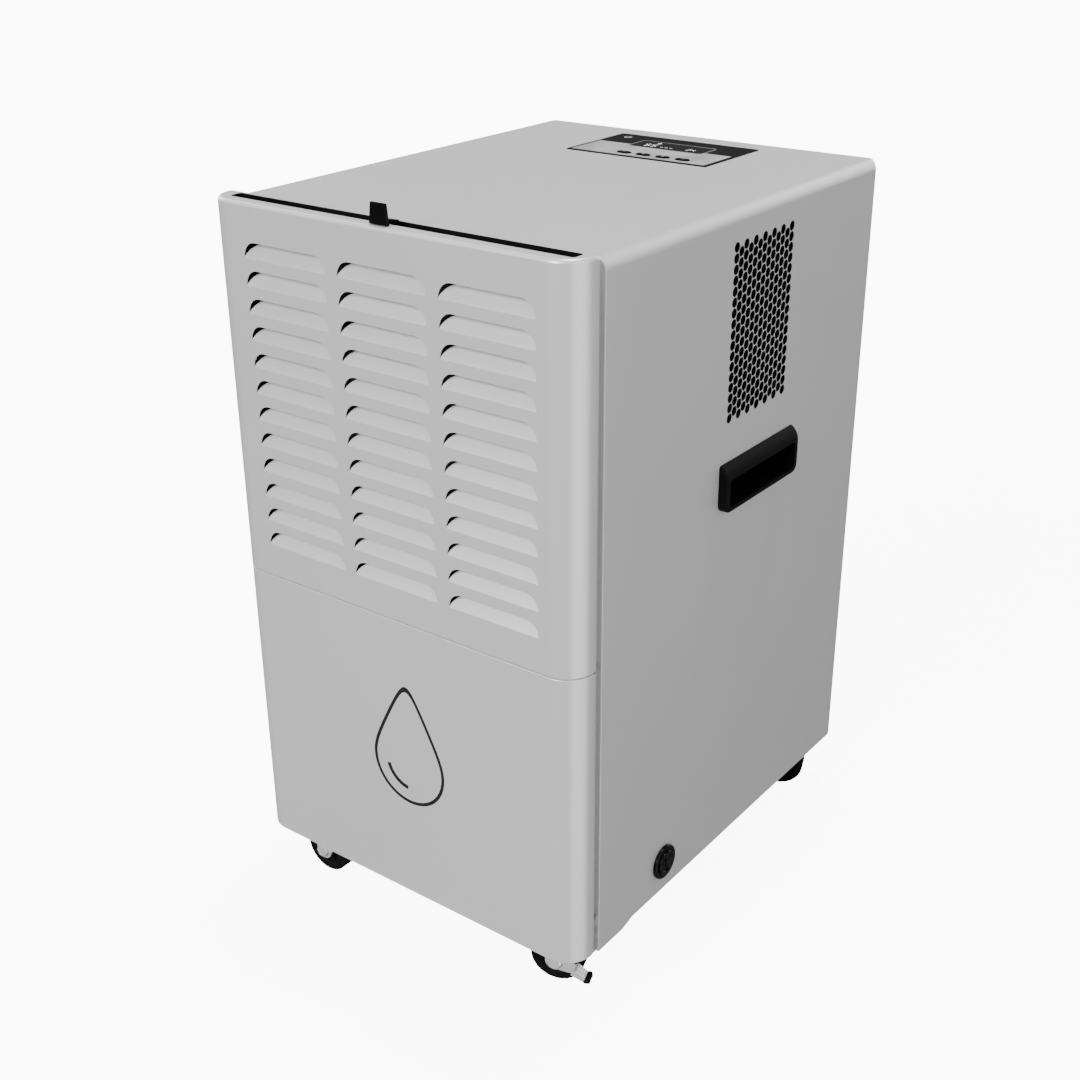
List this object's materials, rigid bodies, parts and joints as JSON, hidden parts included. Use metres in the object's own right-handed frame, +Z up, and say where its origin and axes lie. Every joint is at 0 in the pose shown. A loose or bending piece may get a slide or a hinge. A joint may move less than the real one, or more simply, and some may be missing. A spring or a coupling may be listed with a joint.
{
  "type": "dehumidifier",
  "caption": "Upright commercial dehumidifier on swivel casters: louvred intake, lift-out filter, side air outlet, recessed handles, drain plug and a top control panel.",
  "frame": {"origin": "centre of the footprint on the floor, under the middle of the overall box", "axes": "+X to the side with the air outlet and drain, +Y to the rear, +Z up"},
  "size_m": [0.387, 0.476, 0.681],
  "materials": {
    "cabinet_paint": "fine satin powder coat",
    "galvanised_sheet": "galvanised sheet",
    "bright_zinc": "bright zinc plate",
    "black_plastic": "fine moulded texture",
    "gloss_black": "gloss",
    "fascia": "satin overlay",
    "filter_media": "woven nylon mesh",
    "circuit_board": "solder mask",
    "grey_plastic": "moulded",
    "aluminium": "mill",
    "black_enamel": "semi-gloss enamel",
    "rubber": "matt",
    "copper": "drawn tube",
    "tyre_black": "smooth polyurethane"
  },
  "bodies": {
    "cabinet": {"base_pan": "galvanised_sheet", "cabinet_shell": "cabinet_paint", "rear_panel": "cabinet_paint", "rear_screw_1": "bright_zinc", "rear_screw_2": "bright_zinc", "rear_screw_3": "bright_zinc", "rear_screw_4": "bright_zinc", "louvre_cover": "cabinet_paint", "lower_front_panel": "cabinet_paint", "outlet_grille": "cabinet_paint", "filter_rail_left": "galvanised_sheet", "filter_rail_right": "galvanised_sheet", "handle_right": "black_plastic", "handle_left": "black_plastic", "control_fascia": "fascia", "display_lens": "gloss_black", "control_board": "circuit_board", "drain_spout": "gloss_black", "drain_hose": "grey_plastic", "evaporator_coil": "aluminium", "condenser_coil": "aluminium", "drip_tray": "grey_plastic", "partition": "galvanised_sheet", "fan_scroll": "grey_plastic", "fan_motor": "aluminium", "compressor": "black_enamel", "compressor_mount_1": "rubber", "compressor_mount_2": "rubber", "compressor_mount_3": "rubber", "discharge_pipe": "copper", "suction_pipe": "copper", "electrical_box": "grey_plastic", "power_inlet": "black_plastic", "caster_plate_front_right": "bright_zinc", "caster_plate_front_left": "bright_zinc", "caster_plate_rear_right": "bright_zinc", "caster_plate_rear_left": "bright_zinc"},
    "filter": {"filter_frame": "black_plastic", "filter_mesh": "filter_media", "filter_pull_tab": "gloss_black"},
    "button_1": {"button_1": "gloss_black"},
    "button_2": {"button_2": "gloss_black"},
    "button_3": {"button_3": "gloss_black"},
    "button_4": {"button_4": "gloss_black"},
    "fan_rotor": {"fan_wheel": "grey_plastic"},
    "drain_plug": {"drain_plug": "gloss_black"},
    "swivel_front_right": {"caster_fork_front_right": "bright_zinc", "caster_axle_front_right": "bright_zinc"},
    "wheel_front_right": {"caster_wheel_front_right": "tyre_black"},
    "brake_front_right": {"brake_lever_front_right": "bright_zinc"},
    "swivel_front_left": {"caster_fork_front_left": "bright_zinc", "caster_axle_front_left": "bright_zinc"},
    "wheel_front_left": {"caster_wheel_front_left": "tyre_black"},
    "swivel_rear_right": {"caster_fork_rear_right": "bright_zinc", "caster_axle_rear_right": "bright_zinc"},
    "wheel_rear_right": {"caster_wheel_rear_right": "tyre_black"},
    "swivel_rear_left": {"caster_fork_rear_left": "bright_zinc", "caster_axle_rear_left": "bright_zinc"},
    "wheel_rear_left": {"caster_wheel_rear_left": "tyre_black"},
    "brake_rear_left": {"brake_lever_rear_left": "bright_zinc"}
  },
  "joints": [
    {"name": "filter_lift", "type": "slide", "parent": "cabinet", "child": "filter", "axis": [0, 0, 1], "range_m": [0, 0.31]},
    {"name": "button_1_press", "type": "slide", "parent": "cabinet", "child": "button_1", "axis": [0, 0, -1], "range_m": [0, 0.001], "stiffness_N_per_m": 500, "springref_m": -0.0006},
    {"name": "button_2_press", "type": "slide", "parent": "cabinet", "child": "button_2", "axis": [0, 0, -1], "range_m": [0, 0.001], "stiffness_N_per_m": 500, "springref_m": -0.0006},
    {"name": "button_3_press", "type": "slide", "parent": "cabinet", "child": "button_3", "axis": [0, 0, -1], "range_m": [0, 0.001], "stiffness_N_per_m": 500, "springref_m": -0.0006},
    {"name": "button_4_press", "type": "slide", "parent": "cabinet", "child": "button_4", "axis": [0, 0, -1], "range_m": [0, 0.001], "stiffness_N_per_m": 500, "springref_m": -0.0006},
    {"name": "fan_spin", "type": "hinge", "parent": "cabinet", "child": "fan_rotor", "pos_m": [0, 0.063, 0.5], "axis": [0, 1, 0], "continuous": true},
    {"name": "drain_plug_pull", "type": "slide", "parent": "cabinet", "child": "drain_plug", "axis": [1, 0, 0], "range_m": [0, 0.03]},
    {"name": "caster_swivel_front_right", "type": "hinge", "parent": "cabinet", "child": "swivel_front_right", "pos_m": [0.121, -0.196, 0.06], "axis": [0, 0, 1], "continuous": true},
    {"name": "wheel_roll_front_right", "type": "hinge", "parent": "swivel_front_right", "child": "wheel_front_right", "pos_m": [0.13622, -0.19106, 0.025], "axis": [-0.309, 0.9511, 0], "continuous": true},
    {"name": "brake_lever_front_right", "type": "hinge", "parent": "swivel_front_right", "child": "brake_front_right", "pos_m": [0.13622, -0.19106, 0.025], "axis": [0.309, -0.9511, 0], "range_deg": [0, 28]},
    {"name": "caster_swivel_front_left", "type": "hinge", "parent": "cabinet", "child": "swivel_front_left", "pos_m": [-0.121, -0.196, 0.06], "axis": [0, 0, 1], "continuous": true},
    {"name": "wheel_roll_front_left", "type": "hinge", "parent": "swivel_front_left", "child": "wheel_front_left", "pos_m": [-0.137, -0.196, 0.025], "axis": [0, -1, 0], "continuous": true},
    {"name": "caster_swivel_rear_right", "type": "hinge", "parent": "cabinet", "child": "swivel_rear_right", "pos_m": [0.128, 0.193, 0.06], "axis": [0, 0, 1], "continuous": true},
    {"name": "wheel_roll_rear_right", "type": "hinge", "parent": "swivel_rear_right", "child": "wheel_rear_right", "pos_m": [0.14303, 0.19847, 0.025], "axis": [-0.342, 0.9397, 0], "continuous": true},
    {"name": "caster_swivel_rear_left", "type": "hinge", "parent": "cabinet", "child": "swivel_rear_left", "pos_m": [-0.128, 0.193, 0.06], "axis": [0, 0, 1], "continuous": true},
    {"name": "wheel_roll_rear_left", "type": "hinge", "parent": "swivel_rear_left", "child": "wheel_rear_left", "pos_m": [-0.14303, 0.18753, 0.025], "axis": [0.342, -0.9397, 0], "continuous": true},
    {"name": "brake_lever_rear_left", "type": "hinge", "parent": "swivel_rear_left", "child": "brake_rear_left", "pos_m": [-0.14303, 0.18753, 0.025], "axis": [-0.342, 0.9397, 0], "range_deg": [0, 28]}
  ]
}
